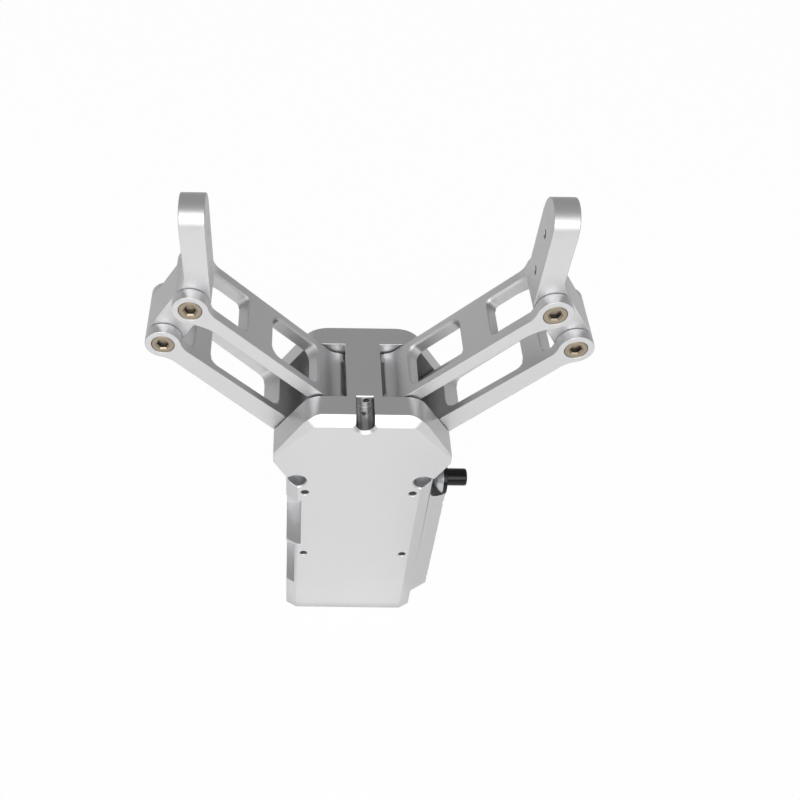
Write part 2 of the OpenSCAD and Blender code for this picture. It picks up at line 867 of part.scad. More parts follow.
module ear_bores() {
    translate([link_l, 0, 0]) {
        rod_y(pin_r + seat_fit, -half_link - over, half_link + over);
        rod_y(head_r + 0.1, -half_link - over, -half_link + 3.4);
        rod_y(head_r + 0.1, half_link - 3.4, half_link + over);
    }
}

module hub_bore() {
    rod_y(bush_r + seat_fit, -half_link - over, half_link + over);
}

module drive_link_flat() {
    difference() {
        link_body(drive_top, drive_low, drive_low, [8, 12, 12, 25]);
        link_cuts(19.5, link_l - 50.7, link_l - 32.7);
        ear_bores();
        hub_bore();
    }
}

// The part of the hub that faces the rack, turned down to the root circle of the gear
module gear_room() {
    reach = boss_r + 5;
    low = 180 - 1.5 * tooth_a - 3;
    high = 180 + travel_angle + 29;
    along_y(rack_d + 0.8) mirror([0, 1]) difference() {
        polygon([
            [0, 0], [reach * cos(low), reach * sin(low)], [-reach, 0.7 * reach],
            [-reach, -0.7 * reach], [reach * cos(high), reach * sin(high)]
        ]);
        circle(root_r);
    }
}

// Teeth that face the rack, counted from the one on the centre line
module gear_sector() {
    along_y(rack_d) {
        for (i = [-1 : 2]) {
            rotate([0, 0, 180 - i * tooth_a]) gear_tooth();
        }
    }
}

module drive_link() {
    translate([drive_x, 0, drive_z]) {
        difference() {
            rotate([0, -open_angle, 0]) drive_link_flat();
            gear_room();
        }
        gear_sector();
    }
}

module follower_link() {
    translate([follow_x, 0, follow_z]) rotate([0, -open_angle, 0]) difference() {
        link_body(follower_top, follower_low_in, follower_low, [8, 6, 12, 14]);
        link_cuts(27.5, link_l - 26.9, link_l - 15.7);
        ear_bores();
        hub_bore();
    }
}

// Flanged bushes, one from the front and one from the back
module hub_bushes(x, z) {
    for (s = [0, 1]) {
        translate([x, 0, z]) mirror([0, s, 0]) difference() {
            union() {
                rod_y(bush_r, 6, half_link + 0.2);
                rod_y(7.6, half_link + 0.05, half_slot - 0.12);
            }
            rod_y(pin_r + run_fit, 0, half_slot);
        }
    }
}

// ---- Finger with its coupler ----

module finger_outline() {
    bar_top = tip_z - half_finger;
    inner = upper_x - grip_x;
    outer = inner + finger_t;
    dir = atan2(-coupler_z, coupler_x);
    off = [boss_r * sin(dir), -boss_r * cos(dir)];
    for (p = [[upper_x, upper_z], [lower_x, lower_z]]) {
        translate(p) circle(boss_r);
    }
    polygon([
        [upper_x + off[0], upper_z + off[1]], [lower_x + off[0], lower_z + off[1]],
        [lower_x - off[0], lower_z - off[1]], [upper_x - off[0], upper_z - off[1]]
    ]);
    polygon([
        [inner, upper_z - 1], [upper_x - boss_r * cos(30), upper_z - boss_r * sin(30)], [upper_x, upper_z],
        [outer, upper_z], [outer, tip_z], [inner, tip_z]
    ]);
}

// Fillet between the outer face of the bar and the upper boss
module finger_fillet(cut) {
    edge = finger_t - grip_x;
    translate([upper_x, upper_z]) rotate(-90) boss_fillet(boss_r, edge, 16, -1, cut);
}

module finger() {
    inner = upper_x - grip_x;
    bar_top = tip_z - half_finger;
    difference() {
        along_y(finger_d) difference() {
            union() {
                finger_outline();
                finger_fillet(false);
            }
            finger_fillet(true);
        }
        // Round fingertip
        difference() {
            translate([inner - over, -half_finger - over, bar_top])
                cube([finger_t + 2 * over, finger_d + 2 * over, half_finger + 2]);
            translate([0, 0, bar_top]) rod_x(half_finger, inner - 2, inner + finger_t + 2);
        }
        translate([upper_x, 0, upper_z]) rod_y(bush_r + seat_fit, -half_finger - over, half_finger + over);
        translate([lower_x, 0, lower_z]) rod_y(bush_r + seat_fit, -half_finger - over, half_finger + over);
        for (z = [upper_z + pad_hole_low, upper_z + pad_hole_low + pad_hole_gap]) {
            translate([0, 0, z]) rod_x(pad_hole_r, inner - over, inner + 8);
        }
    }
}

module coupler_bush(x, z, inside_r) {
    translate([x, 0, z]) difference() {
        rod_y(bush_r, -half_finger, half_finger);
        rod_y(inside_r, -half_finger - over, half_finger + over);
    }
}

module finger_bushes() {
    coupler_bush(upper_x, upper_z, pin_r + run_fit);
    coupler_bush(lower_x, lower_z, pin_r + run_fit);
}

module pivot_screw(x, z) {
    translate([x, 0, z]) difference() {
        union() {
            rod_y(head_r, -half_link + 0.1, -half_link + 3.3);
            rod_y(pin_r, -half_link + 3.2, half_link - 3.2);
            rod_y(head_r, half_link - 3.3, half_link - 0.1);
        }
        for (s = [-1, 1]) {
            translate([0, s * half_link, 0]) rotate([90, 0, 0])
                cylinder(r = hex_af / 2 / cos(30), h = 5.2, center = true, $fn = 6);
        }
    }
}

module side_part(side, tint) {
    color(tint) mirror([side < 0 ? 1 : 0, 0, 0]) children();
}

module left_drive_link() { side_part(-1, aluminium) drive_link(); }
module left_drive_bushes() { side_part(-1, bronze) hub_bushes(drive_x, drive_z); }
module left_follower_link() { side_part(-1, aluminium) follower_link(); }
module left_follower_bushes() { side_part(-1, bronze) hub_bushes(follow_x, follow_z); }
module left_finger() { side_part(-1, aluminium) finger(); }
module left_finger_bushes() { side_part(-1, bronze) finger_bushes(); }
module left_upper_screw() { side_part(-1, bronze) pivot_screw(upper_x, upper_z); }
module left_lower_screw() { side_part(-1, bronze) pivot_screw(lower_x, lower_z); }
module right_drive_link() { side_part(1, aluminium) drive_link(); }
module right_drive_bushes() { side_part(1, bronze) hub_bushes(drive_x, drive_z); }
module right_follower_link() { side_part(1, aluminium) follower_link(); }
module right_follower_bushes() { side_part(1, bronze) hub_bushes(follow_x, follow_z); }
module right_finger() { side_part(1, aluminium) finger(); }
module right_finger_bushes() { side_part(1, bronze) finger_bushes(); }
module right_upper_screw() { side_part(1, bronze) pivot_screw(upper_x, upper_z); }
module right_lower_screw() { side_part(1, bronze) pivot_screw(lower_x, lower_z); }

housing();
tool_flange();
flange_screws();
side_cover();
cover_screws();
connector_socket();
connector_nut();
connector_plug();
neck_screws();
port_screw();
control_board();
encoder_board();
encoder_disc();
motor_stator();
motor_end_cap();
motor_retainer();
motor_rotor();
lead_screw();
bearing_block();
screw_bearing();
bearing_ring();
guide_rods();
rack_carriage();
carriage_nut();
drive_pins();
follower_pins();
pin_plugs();
left_drive_link();
left_drive_bushes();
left_follower_link();
left_follower_bushes();
left_finger();
left_finger_bushes();
left_upper_screw();
left_lower_screw();
right_drive_link();
right_drive_bushes();
right_follower_link();
right_follower_bushes();
right_finger();
right_finger_bushes();
right_upper_screw();
right_lower_screw();
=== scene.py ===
"""Electric two finger gripper: fine edges, finishes and a plain studio."""

import json
import math

import bmesh
import bpy
from bpy.props import FloatProperty, FloatVectorProperty, IntProperty, PointerProperty
from mathutils import Matrix, Vector
from mathutils.bvhtree import BVHTree


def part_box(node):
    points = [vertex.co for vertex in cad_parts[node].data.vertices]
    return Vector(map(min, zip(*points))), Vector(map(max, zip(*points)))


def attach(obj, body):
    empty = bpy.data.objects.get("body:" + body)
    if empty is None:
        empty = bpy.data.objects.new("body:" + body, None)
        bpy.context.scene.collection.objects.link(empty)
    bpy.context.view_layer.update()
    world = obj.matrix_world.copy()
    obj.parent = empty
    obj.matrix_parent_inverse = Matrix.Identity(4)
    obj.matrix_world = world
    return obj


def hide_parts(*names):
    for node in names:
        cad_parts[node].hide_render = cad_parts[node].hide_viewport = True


bl_info = {
    "name": "Two finger gripper",
    "version": (1, 0, 0),
    "blender": (4, 5, 0),
    "location": "View3D > Sidebar > Gripper",
    "description": "Builds the looks of an electric two finger gripper on its CAD frame",
    "category": "Object",
}

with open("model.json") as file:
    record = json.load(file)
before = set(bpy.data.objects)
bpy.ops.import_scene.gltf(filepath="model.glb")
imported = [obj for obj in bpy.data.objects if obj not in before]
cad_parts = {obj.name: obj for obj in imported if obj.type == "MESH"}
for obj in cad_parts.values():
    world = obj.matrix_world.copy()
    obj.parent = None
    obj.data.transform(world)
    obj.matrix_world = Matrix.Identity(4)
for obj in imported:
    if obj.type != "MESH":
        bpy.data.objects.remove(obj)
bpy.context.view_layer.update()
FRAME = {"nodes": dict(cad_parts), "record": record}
NODES = FRAME["nodes"]
BODY_OF = {
    node: body
    for body, members in FRAME["record"]["behaviour"]["bodies"].items()
    for node in members
}
SLOT_OF = {p["node"]: p["material_slot"] for p in FRAME["record"]["subparts"]}
MM = 0.001
SHARP = math.radians(28)
HEX_CORNER = 0.5 / math.cos(math.pi / 6)  # Corner radius of a hexagon 1 across its flats
BOSS_CLEAR = 10.5 * MM  # Room round a pivot axis that the window chamfers keep off
GROOVE_BACK = -18.9  # y of the back wall of the groove in the top edge, in mm
GROOVE_BOX = ((-0.0048, -0.0345, 0.1903), (0.0048, -0.0187, 0.1989))  # The same groove, in m


# ---- Sizes and colours a user may change ----


def millimetres(name, description, default, low=0.0, high=20.0):
    """A length property that is shown and stored in millimetres."""
    return FloatProperty(
        name=name + " (mm)", description=description, default=default, min=low, max=high
    )


def colour(name, description, default):
    """A colour property."""
    return FloatVectorProperty(
        name=name, description=description, subtype="COLOR", size=3,
        min=0.0, max=1.0, default=default,
    )


def brightness(name, description, default):
    """How bright a lamp's face is; 1 is as bright as the white floor."""
    return FloatProperty(
        name=name, description=description, default=default, min=0.0, max=50.0
    )


class GripperSizes(bpy.types.PropertyGroup):
    """Fine sizes that the frame leaves plain."""

    body_edge: millimetres("Body edge", "Edge break of the machined body", 0.35)
    link_edge: millimetres("Link edge", "Edge break of the links", 0.5)
    window_edge: millimetres("Window edge", "Chamfer of the links' windows", 1.0)
    finger_edge: millimetres("Finger edge", "Edge break of the fingers", 0.5)
    screw_edge: millimetres("Screw edge", "Edge break of screws and pins", 0.45)
    slope_drop: millimetres("Slope drop", "Height of the shoulder slopes", 29.3, 0.0, 60.0)
    slope_angle: FloatProperty(
        name="Slope angle", description="Tilt of the shoulder slopes in degrees",
        default=57.0, min=20.0, max=80.0,
    )
    slope_trim_back: millimetres("Slope chamfer", "Depth of the slopes' front chamfer", 3.3)
    slope_trim_front: millimetres("Slope chamfer width", "Width of the same, in front", 5.5)
    slope_trim_end: millimetres("Slope chamfer end", "Depth of the same, at its foot", 1.0)
    top_chamfer: millimetres("Top chamfer", "Chamfer along the front edge of the top", 5.0)
    slope_chamfer: millimetres("Back chamfer", "Depth of the slopes' back chamfer", 7.0)
    corner_round: millimetres("Corner round", "Radius between the front chamfers", 9.0)
    back_round: millimetres("Back round", "Radius between the back chamfers", 30.0, 0.0, 60.0)
    ear_fill: millimetres("Ear fill", "How far the fingers fill their play", 0.25, 0.0, 0.35)
    seam: millimetres("Cover seam", "How far the cover closes its seam", 0.2, 0.0, 0.3)
    thread_pitch: millimetres("Thread pitch", "Lead of the spindle thread", 2.0, 0.5)
    thread_depth: millimetres("Thread depth", "How deep the spindle thread is", 0.3)
    socket_width: millimetres("Socket width", "Across flats of the pivot screws' sockets", 5.9)
    socket_depth: millimetres("Socket depth", "Depth of the same sockets", 1.8)
    socket_lip: millimetres("Socket lip", "Width of the sockets' bright lead-in", 0.55)
    contact_count: IntProperty(
        name="Plug contacts", description="Contacts in the end of the connector",
        default=4, min=3, max=8,
    )


class GripperColours(bpy.types.PropertyGroup):
    """Base colours of the finishes."""

    satin: colour("Satin aluminium", "Bead-blasted body, links and fingers", (0.70, 0.70, 0.705))
    dark: colour("Dark aluminium", "Hidden machined parts", (0.30, 0.305, 0.32))
    steel: colour("Steel", "Ground pins, shafts and screws", (0.56, 0.57, 0.59))
    # This colour is also used for the painted shade in the pivot screws' sockets
    oxide_and_socket_shade: colour("Black steel", "Oxide-blackened screws", (0.045, 0.045, 0.05))
    bronze: colour("Bronze", "Pivot screws and bushes", (0.40, 0.335, 0.25))
    plastic: colour("Black plastic", "Connector shell", (0.006, 0.006, 0.007))
    board: colour("Board", "Circuit board lacquer", (0.03, 0.16, 0.08))
    copper: colour("Copper", "Motor coils and contacts", (0.72, 0.36, 0.18))


class GripperStudio(bpy.types.PropertyGroup):
    """Floor, backdrop and lamps."""

    floor_radius: FloatProperty(
        name="Floor radius", description="Radius of the pale floor", unit="LENGTH",
        default=4.0, min=1.0, max=20.0,
    )
    wall_height: FloatProperty(
        name="Backdrop height", description="Height of the pale backdrop round the floor",
        unit="LENGTH", default=0.4, min=0.1, max=6.0,
    )
    mirrored: FloatProperty(
        name="Mirrored", description="How much of the plain white the metal shows",
        default=0.15, min=0.0, max=0.94,
    )
    pale: colour("Pale", "Colour of floor and backdrop", (0.97, 0.97, 0.97))
    sky: colour("Sky", "Plain light from above the backdrop", (0.37, 0.37, 0.375))
    key: brightness("Key lamp", "Large soft lamp above the camera", 2.0)
    wide: brightness("Wide lamp", "Wide soft lamp low in front", 1.5)
    low: brightness("Low lamps", "Flat soft lamps on the floor in front", 0.21)
    fill: brightness("Fill lamp", "Soft lamp behind at the left", 0.4)


# ---- Shader maths ----


class Sum:
    """A value in a node tree; arithmetic on it adds Math nodes."""

    def __init__(self, finish, socket):
        self.finish = finish
        self.socket = socket

    def _math(self, operation, a, b):
        return self.finish.node("ShaderNodeMath", {"operation": operation}, {0: a, 1: b})

    def __add__(self, other):
        return self._math("ADD", self, other)

    __radd__ = __add__

    def __mul__(self, other):
        return self._math("MULTIPLY", self, other)

    __rmul__ = __mul__

    def __sub__(self, other):
        return self._math("SUBTRACT", self, other)

    def __rsub__(self, other):
        return self._math("SUBTRACT", other, self)


class Finish:
    """A material under construction."""

    def __init__(self, name, tree=None):
        if tree is None:
            self.material = bpy.data.materials.new(name)
            self.material.use_nodes = True
            tree = self.material.node_tree
        self.tree = tree
        self.tree.nodes.clear()

    def node(self, kind, settings=None, inputs=None, output=0):
        """Adds one node: its settings first, then the values or links of its sockets."""
        made = self.tree.nodes.new(kind)
        for key, value in (settings or {}).items():
            setattr(made, key, value)
        for key, value in (inputs or {}).items():
            socket = made.inputs[key]
            if isinstance(value, Sum):
                self.tree.links.new(value.socket, socket)
            else:
                socket.default_value = value
        return Sum(self, made.outputs[output]) if made.outputs else None

    def place(self):
        """Object coordinates, in metres."""
        return self.node("ShaderNodeTexCoord", output="Object")

    def noise(self, scale, detail=2.0, vector=None):
        """Noise from 0 to 1, scale per metre."""
        return self.node(
            "ShaderNodeTexNoise",
            inputs={"Vector": vector or self.place(), "Scale": scale, "Detail": detail},
            output="Fac",
        )

    def mix(self, factor, a, b, blend="MIX"):
        """One of two colours, or a blend of them; 0 is the first."""
        def four(c):
            return c if isinstance(c, Sum) else (c[0], c[1], c[2], 1.0)
        return self.node(
            "ShaderNodeMix", {"data_type": "RGBA", "blend_type": blend},
            {0: factor, 6: four(a), 7: four(b)}, output=2,
        )

    def tint(self, colour, amount, pattern):
        """The colour, made a little darker where a pattern from 0 to 1 is low."""
        shade = self.mix(pattern, [1 - 2 * amount] * 3, (1.0, 1.0, 1.0))
        return self.mix(1.0, colour, shade, "MULTIPLY")

    def inside(self, low, high):
        """1 inside a box given by two corners in metres, 0 outside it."""
        xyz = self.node("ShaderNodeSeparateXYZ", inputs={0: self.place()}).socket.node
        mask = 1.0
        for axis in range(3):
            value = Sum(self, xyz.outputs[axis])
            mask = self._compare("GREATER_THAN", value, low[axis]) * mask
            mask = self._compare("LESS_THAN", value, high[axis]) * mask
        return mask

    def _compare(self, operation, value, limit):
        return self.node("ShaderNodeMath", {"operation": operation}, {0: value, 1: limit})

    def close(self, base, metallic, roughness, normal=None, **constants):
        """The Principled shader and the material's output."""
        inputs = {"Base Color": base, "Metallic": metallic, "Roughness": roughness}
        if normal is not None:
            inputs["Normal"] = normal
        inputs.update(constants)
        shader = self.node("ShaderNodeBsdfPrincipled", inputs=inputs)
        self.node("ShaderNodeOutputMaterial", inputs={"Surface": shader})
        return self.material


def rgba(value):
    return (value[0], value[1], value[2], 1.0)


def blasted_metal(name, base, rough, grain, polished_shaded=None):
    """Bead-blasted, anodised aluminium: a fine even grain and faint clouding. Inside the given
    box (its low and high corners in metres) the metal is smoother, and its colour is darker as
    painted shade."""
    f = Finish(name)
    cloud = f.noise(28.0)
    if polished_shaded:
        polish_and_shade = f.inside(*polished_shaded)
        rough = polish_and_shade * -0.22 + rough
        # Painted shade: the colour is darker inside the groove box; the lower roughness is real
        # polish
        base = f.mix(polish_and_shade, base, [c * 0.62 for c in base])
    grains = f.noise(2600.0, 1.0)
    bump = f.node(
        "ShaderNodeBump", inputs={"Strength": grain, "Distance": 0.00003, "Height": grains}
    )
    return f.close(f.tint(base, 0.02, cloud), 1.0, (cloud - 0.5) * 0.06 + rough, bump)


def turned_metal(name, base, rough, tint=0.04):
    """Turned or ground metal with a little unevenness."""
    f = Finish(name)
    cloud = f.noise(160.0, 3.0)
    return f.close(f.tint(base, tint, cloud), 1.0, rough + (cloud - 0.5) * 0.1)


def plain_coat(name, base, rough, metallic=0.0, shine=0.5):
    """Plastic, lacquer or oxide with a fine moulded texture."""
    f = Finish(name)
    grains = f.noise(900.0)
    bump = f.node(
        "ShaderNodeBump", inputs={"Strength": 0.1, "Distance": 0.00003, "Height": grains}
    )
    tone = f.tint(base, 0.08, grains)
    return f.close(tone, metallic, rough, bump, **{"Specular IOR Level": shine})


def finishes():
    """The finishes by slot name, made once from the user's colours."""
    if "satin_aluminium" not in FINISH:
        c = bpy.context.scene.gripper_colours
        FINISH.update(
            satin_aluminium=blasted_metal("satin_aluminium", c.satin, 0.42, 0.10),
            # Body aluminium: smoother in the groove box, with painted shade there
            body_aluminium=blasted_metal(
                "body_aluminium", c.satin, 0.42, 0.10,
                GROOVE_BOX,
            ),
            dark_aluminium=blasted_metal("dark_aluminium", c.dark, 0.45, 0.10),
            steel=turned_metal("steel", c.steel, 0.28),
            black_steel=plain_coat("black_steel", c.oxide_and_socket_shade, 0.42, 0.6),
            bronze=turned_metal("bronze", c.bronze, 0.34, 0.10),
            black_plastic=plain_coat("black_plastic", c.plastic, 0.18, shine=0.28),
            board_green=plain_coat("board_green", c.board, 0.45),
            copper=turned_metal("copper", c.copper, 0.35),
        )
    return FINISH


FINISH = {}


# ---- Making pieces ----


class Shape(Finish):
    """A Geometry Nodes tree under construction, with named sizes."""

    def __init__(self, name, **sizes):
        super().__init__(name, bpy.data.node_groups.new(name, "GeometryNodeTree"))
        self.name = name
        self.values = {}
        faces = self.tree.interface
        for label, value in sizes.items():
            whole = isinstance(value, int)
            socket = faces.new_socket(
                label, in_out="INPUT", socket_type="NodeSocketInt" if whole else "NodeSocketFloat"
            )
            self.values[socket.identifier] = value
        faces.new_socket("Geometry", in_out="OUTPUT", socket_type="NodeSocketGeometry")
        self.entry = self.tree.nodes.new("NodeGroupInput")

    def size(self, label):
        """One of the named sizes."""
        return Sum(self, self.entry.outputs[label])

    def at_both_ends(self, piece):
        """The piece at both ends of the size Apart along z, one of them turned round."""
        start = self.node("ShaderNodeCombineXYZ", inputs={"Z": self.size("Apart") * 0.5})
        step = self.node("ShaderNodeCombineXYZ", inputs={"Z": self.size("Apart") * -1.0})
        ends = self.node("GeometryNodeMeshLine", inputs={
            "Count": 2, "Start Location": start, "Offset": step,
        })
        number = self.node("GeometryNodeInputIndex")
        turn = self.node("ShaderNodeCombineXYZ", inputs={"X": number * math.pi})
        return self.node("GeometryNodeInstanceOnPoints", inputs={
            "Points": ends, "Instance": piece, "Rotation": turn,
        })

    def grow(self, geometry, finish):
        """Ends the tree and turns its result into a plain mesh."""
        real = self.node("GeometryNodeRealizeInstances", inputs={0: geometry})
        coated = self.node(
            "GeometryNodeSetMaterial", inputs={"Geometry": real, "Material": finishes()[finish]}
        )
        self.node("NodeGroupOutput", inputs={0: coated})
        holder = bpy.data.objects.new(self.name, bpy.data.meshes.new(self.name))
        bpy.context.scene.collection.objects.link(holder)
        nodes = holder.modifiers.new("shape", "NODES")
        nodes.node_group = self.tree
        for identifier, value in self.values.items():
            nodes[identifier] = value
        seen = holder.evaluated_get(bpy.context.evaluated_depsgraph_get())
        mesh = bpy.data.meshes.new_from_object(seen)
        holder.modifiers.remove(nodes)
        bpy.data.objects.remove(holder)
        return mesh


def helix_mesh(radius, depth, pitch, length, finish):
    """A thread ridge round the z axis, from its foot at z = 0."""
    f = Shape("thread", Radius=radius, Depth=depth, Pitch=pitch, Turns=length / pitch)
    middle = f.size("Radius") - f.size("Depth")
    path = f.node("GeometryNodeCurveSpiral", inputs={
        "Resolution": 24, "Rotations": f.size("Turns"), "Start Radius": middle,
        "End Radius": middle, "Height": f.size("Turns") * f.size("Pitch"),
    })
    level = f.node("GeometryNodeSetCurveNormal", {"mode": "Z_UP"}, {"Curve": path})
    rib = f.node("GeometryNodeCurvePrimitiveCircle", inputs={
        "Resolution": 4, "Radius": f.size("Depth"),
    })
    solid = f.node("GeometryNodeCurveToMesh", inputs={
        "Curve": level, "Profile Curve": rib, "Fill Caps": True,
    })
    return f.grow(solid, finish)


def contact_mesh(count, ring, radius, length, finish):
    """Round contacts on a ring, standing along z with their middles at z = 0."""
    f = Shape("contacts", Count=count, Ring=ring, Radius=radius, Length=length)
    places = f.node("GeometryNodeMeshCircle", inputs={
        "Vertices": f.size("Count"), "Radius": f.size("Ring"),
    })
    pin = f.node("GeometryNodeMeshCylinder", inputs={
        "Vertices": 16, "Radius": f.size("Radius"), "Depth": f.size("Length"),
    })
    pins = f.node("GeometryNodeInstanceOnPoints", inputs={"Points": places, "Instance": pin})
    return f.grow(pins, finish)


def shade_cup_mesh(width, depth, apart, finish):
    """Two hexagonal cups along z that open away from each other; they carry the sockets' painted
    shade.
    """
    f = Shape("cups", Width=width, Depth=depth, Apart=apart)
    block = f.node("GeometryNodeMeshCylinder", inputs={
        "Vertices": 6, "Radius": f.size("Width") * HEX_CORNER,
        "Depth": f.size("Depth"),
    })
    top = Sum(f, block.socket.node.outputs["Top"])
    rim = f.node("GeometryNodeExtrudeMesh", inputs={
        "Mesh": block, "Selection": top, "Offset Scale": 0.0,
    })
    inner = Sum(f, rim.socket.node.outputs["Top"])
    narrow = f.node("GeometryNodeScaleElements", inputs={
        "Geometry": rim, "Selection": inner, "Scale": 0.9,
    })
    hollow = f.node("GeometryNodeExtrudeMesh", inputs={
        "Mesh": narrow, "Selection": inner, "Offset Scale": f.size("Depth") * -0.85,
    })
    return f.grow(f.at_both_ends(hollow), finish)


def lip_mesh(width, lip, apart, finish):
    """Two hexagonal lead-ins along z that widen away from each other."""
    f = Shape("lips", Width=width, Lip=lip, Apart=apart)
    cone = f.node("GeometryNodeMeshCone", {"fill_type": "NONE"}, {
        "Vertices": 6, "Radius Top": f.size("Width") * HEX_CORNER,
        "Radius Bottom": (f.size("Width") - f.size("Lip") * 2.0) * HEX_CORNER,
        "Depth": f.size("Lip"),
    })
    return f.grow(f.at_both_ends(cone), finish)


def new_piece(name, mesh, body, slot_name, finish=None):
    """Links a finished mesh as a piece of the object, on its body."""
    piece = bpy.data.objects.new(name, mesh)
    bpy.context.scene.collection.objects.link(piece)
    mesh.materials.clear()
    mesh.materials.append(finishes()[finish or slot_name])
    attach(piece, body)
    return piece


def smooth_by_angle(mesh, angle=SHARP):
    """Smooth shading that keeps edges over the angle crisp."""
    mesh.polygons.foreach_set("use_smooth", [True] * len(mesh.polygons))
    mesh.set_sharp_from_angle(angle=angle)


def clean_copy(node, work=None):
    """A copy of a CAD node with its triangles joined into flat faces, worked on if asked."""
    mesh = NODES[node].data.copy()
    bm = bmesh.new()
    bm.from_mesh(mesh)
    bmesh.ops.remove_doubles(bm, verts=bm.verts, dist=2e-6)
    bmesh.ops.dissolve_limit(
        bm, angle_limit=math.radians(0.4), verts=bm.verts, edges=bm.edges
    )
    bmesh.ops.recalc_face_normals(bm, faces=bm.faces)
    if work:
        work(bm)
    bm.to_mesh(mesh)
    bm.free()
    for layer in list(mesh.attributes):
        if layer.name == "custom_normal":
            mesh.attributes.remove(layer)
    return mesh


def trim(bm, through, outward):
    """Cuts away what lies outside a plane and closes the cut."""
    geom = list(bm.verts) + list(bm.edges) + list(bm.faces)
    cut = bmesh.ops.bisect_plane(
        bm, geom=geom, dist=1e-7, plane_co=through, plane_no=outward, clear_outer=True
    )["geom_cut"]
    edges = [e for e in cut if isinstance(e, bmesh.types.BMEdge)]
    bmesh.ops.contextual_create(bm, geom=edges)


def round_corner(bm, first, outward, second, other, radius, steps=5):
    """Rounds the corner where two planes meet, in flat steps."""
    tilt = outward.dot(other)
    low = outward.dot(first) - radius
    high = other.dot(second) - radius
    axis = (outward * (low - tilt * high) + other * (high - tilt * low)) / (1 - tilt * tilt)
    for i in range(1, steps + 1):
        facing = outward.slerp(other, i / (steps + 1))
        trim(bm, axis + facing * radius, facing)


def slide(bm, near, to):
    """Moves the vertices on a line along x: near and to are (y, z) in millimetres."""
    for v in bm.verts:
        if abs(v.co.y - near[0] * MM) < 4e-5 and abs(v.co.z - near[1] * MM) < 4e-5:
            v.co.y, v.co.z = to[0] * MM, to[1] * MM


def chamfer_windows(bm, width, clear_of):
    """Flat chamfers on the rims of openings, away from the bosses round some axes."""
    below, off_wall, widest = 1 * MM, 0.05 * MM, 45 * MM
    bm.normal_update()
    tree = BVHTree.FromBMesh(bm)
    rims = []
    for edge in bm.edges:
        if len(edge.link_faces) != 2 or edge.calc_face_angle_signed(0.0) < math.radians(60):
            continue
        middle = (edge.verts[0].co + edge.verts[1].co) / 2
        if any(math.hypot(middle.x - c.x, middle.z - c.z) < BOSS_CLEAR for c in clear_of):
            continue
        first, second = (face.normal for face in edge.link_faces)
        for out, across in ((first, second), (second, first)):
            # A rim looks across its window at the wall on the other side
            start = middle - out * below + across * off_wall
            if abs(out.y) < 0.3 and tree.ray_cast(start, across, widest)[0] is not None:
                rims.append(edge)
                break
    bmesh.ops.bevel(
        bm, geom=rims, offset=width, segments=1, affect="EDGES", clamp_overlap=False
    )


def dress(node, edge_mm, segments=2, finish=None, work=None, limit=SHARP):
    """A piece that stands for one CAD node, with its edges broken."""
    mesh = clean_copy(node, work)
    smooth_by_angle(mesh)
    piece = new_piece(node + "_finished", mesh, BODY_OF[node], SLOT_OF[node], finish)
    if edge_mm > 0:
        edge = piece.modifiers.new("edge", "BEVEL")
        edge.width = edge_mm * MM
        edge.segments = segments
        edge.limit_method = "ANGLE"
        edge.angle_limit = limit
        edge.harden_normals = True
        edge.use_clamp_overlap = False
    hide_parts(node)
    return piece


def paint(*names):
    """CAD nodes whose shape is kept get their finish."""
    for name in names:
        slots = NODES[name].material_slots
        if not slots:
            NODES[name].data.materials.append(finishes()[SLOT_OF[name]])
        for s in NODES[name].material_slots:
            s.material = finishes()[SLOT_OF[name]]


class GripperOperator(bpy.types.Operator):
    """Shared by the operators below."""

    bl_options = {"REGISTER", "UNDO"}

    def execute(self, context):
        self.make(context.scene.gripper_sizes)
        return {"FINISHED"}


class GRIPPER_OT_body(GripperOperator):
    """Machined body with broken edges, and the side cover."""

    bl_idname = "gripper.body"
    bl_label = "Body and cover"

    def make(self, sizes):
        low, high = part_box("housing")
        angle = math.radians(sizes.slope_angle)
        down = sizes.slope_drop * MM
        top_x = high.x - down / math.tan(angle)
        back = math.radians(41)  # Tilt of the slopes' back chamfer

        def shape_head(bm):
            """Tapered front chamfers, round corners and a narrow rim on the groove."""
            for side in (-1, 1):
                top = Vector((side * top_x, low.y, high.z))
                foot = Vector((side * high.x, low.y, high.z - down))
                across = Vector((side * math.sin(angle), 0, math.cos(angle)))
                a = top + Vector((0, sizes.slope_trim_back * MM, 0))
                b = foot + Vector((0, sizes.slope_trim_end * MM, 0))
                c = top - across * sizes.slope_trim_front * MM
                outward = (b - a).cross(c - a).normalized()
                if outward.y > 0:
                    outward.negate()
                trim(bm, a, outward)
                chamfer = sizes.top_chamfer * MM
                round_corner(
                    bm, Vector((0, low.y, high.z - chamfer)), Vector((0, -1, 1)).normalized(),
                    a, outward, sizes.corner_round * MM,
                )
                round_corner(
                    bm, Vector((0, high.y - chamfer, high.z)), Vector((0, 2, 1)).normalized(),
                    top + Vector((0, high.y - low.y - sizes.slope_chamfer * MM, 0)),
                    across * math.sin(back) + Vector((0, math.cos(back), 0)),
                    sizes.back_round * MM,
                )
            wide, narrow, top_z = 1.8, 0.7, high.z / MM
            slide(bm, (GROOVE_BACK, top_z - wide), (GROOVE_BACK, top_z - narrow))
            slide(bm, (GROOVE_BACK + wide, top_z), (GROOVE_BACK + narrow, top_z))

        def close_seam(bm):
            """The cover sits tight on the body."""
            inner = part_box("side_cover")[0].x
            for v in bm.verts:
                if v.co.x < inner + 1e-5:
                    v.co.x -= sizes.seam * MM

        dress("housing", sizes.body_edge, finish="body_aluminium", work=shape_head)
        dress("side_cover", sizes.body_edge, work=close_seam)
        paint("tool_flange", "flange_screws", "cover_screws", "port_screw", "neck_screws")


